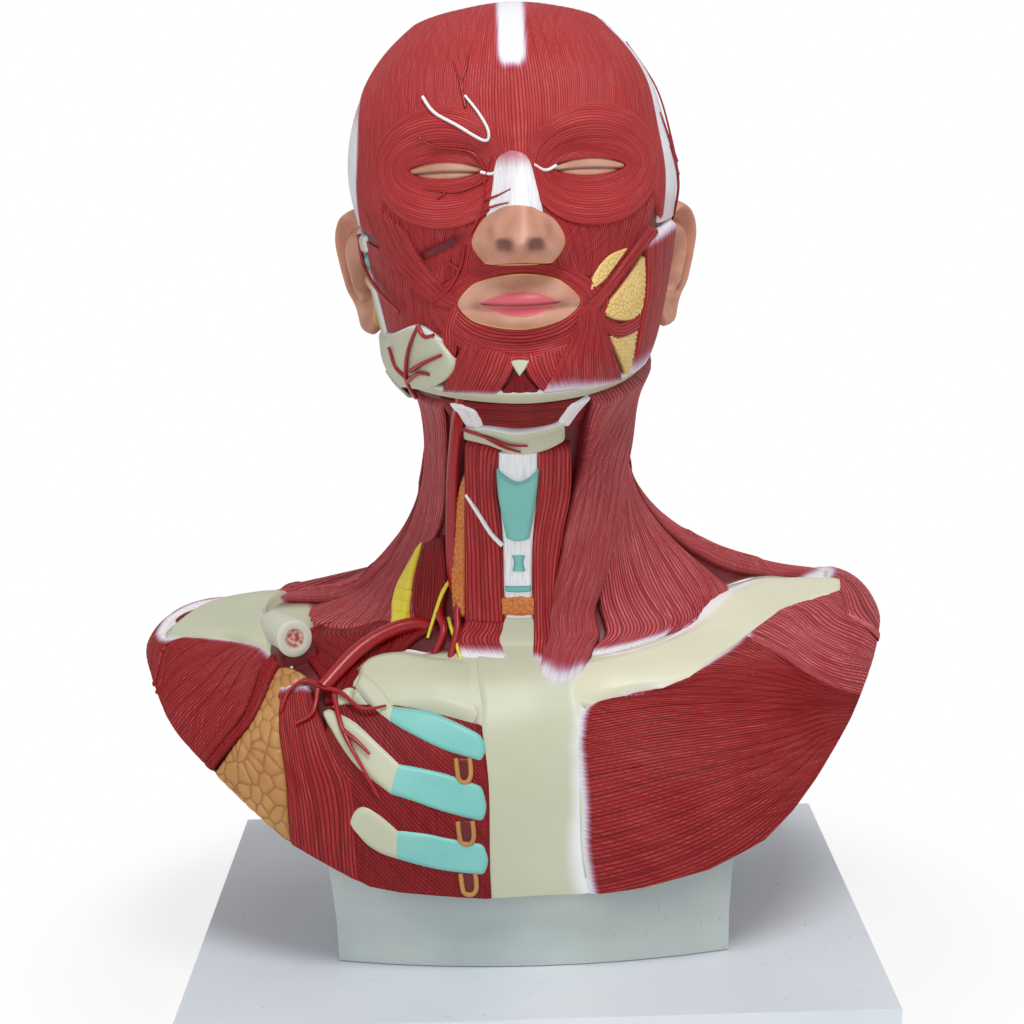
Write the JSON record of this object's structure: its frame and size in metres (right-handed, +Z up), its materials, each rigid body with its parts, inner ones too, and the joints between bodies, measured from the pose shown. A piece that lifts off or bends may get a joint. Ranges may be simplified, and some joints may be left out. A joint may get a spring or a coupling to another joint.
{
  "type": "anatomical bust of head, neck and shoulder muscles",
  "caption": "Free-standing teaching bust that shows the muscles, vessels and bones of the head, neck and shoulders, on a foot and a square base board.",
  "frame": {"origin": "middle of the underside of the base board", "axes": "+Z up, the face looks along -Y, the figure's own left side is +X"},
  "size_m": [0.3874, 0.32, 0.4944],
  "materials": {
    "muscle": "satin red paint on a cast body, with fine fibre grooves",
    "pale_muscle": "lighter satin red paint",
    "dark_muscle": "dark satin red paint",
    "bone": "satin cream paint",
    "fascia": "satin white paint",
    "cartilage": "satin pale blue-green paint",
    "fat": "satin ochre paint",
    "nerve": "satin yellow paint",
    "artery": "glossy bright red paint",
    "gland": "satin orange paint",
    "skin": "satin tan paint",
    "foot_paint": "satin grey-white paint",
    "board": "white painted board",
    "screw_steel": "plain zinc-plated steel"
  },
  "bodies": {
    "root": {"arm_nerves": "nerve", "armpit_fat_right": "fat", "back_muscle": "dark_muscle", "back_scalp_muscle": "muscle", "base_board": "board", "breastbone": "bone", "bust_casting": "fascia", "carotid_artery": "artery", "cheek_muscle_left": "pale_muscle", "cheek_muscle_right": "pale_muscle", "chest_muscle_left": "muscle", "chin_floor_muscle": "dark_muscle", "clavicle_left": "bone", "ear_left": "skin", "ear_right": "skin", "eye_ring_muscle_left": "dark_muscle", "eye_ring_muscle_right": "dark_muscle", "eyelids_left": "skin", "eyelids_right": "skin", "foot": "foot_paint", "foot_screw_left": "screw_steel", "foot_screw_right": "screw_steel", "forehead_muscle_left": "pale_muscle", "forehead_muscle_right": "pale_muscle", "gland_bridge": "gland", "gland_lobe_right": "gland", "hyoid_bone": "bone", "jaw_branch_right": "bone", "jaw_edge": "bone", "jaw_muscle_left": "muscle", "lip_patch": "skin", "mouth_corner_muscle_left": "muscle", "mouth_corner_muscle_right": "muscle", "mouth_ring_muscle": "muscle", "nasal_bridge": "fascia", "neck_side_muscle_left": "dark_muscle", "neck_side_muscle_right": "dark_muscle", "neck_strap_muscle_left": "pale_muscle", "nose_tip": "skin", "nose_wing_muscle_left": "pale_muscle", "nose_wing_muscle_right": "pale_muscle", "rib_bone_2": "bone", "rib_bone_3": "bone", "rib_bone_4": "bone", "rib_cartilage_2": "cartilage", "rib_cartilage_3": "cartilage", "rib_cartilage_4": "cartilage", "rib_gap_muscle_right": "dark_muscle", "scalp_sheet": "fascia", "shoulder_bone_right": "bone", "shoulder_cap_left": "muscle", "shoulder_cap_right": "muscle", "small_chest_muscle_right": "muscle", "subclavian_artery": "artery", "throat_lining": "fascia", "throat_muscle_left": "muscle", "throat_muscle_right": "muscle", "throat_shield": "cartilage", "trapezius_left": "muscle", "trapezius_right": "muscle"}
  },
  "joints": []
}
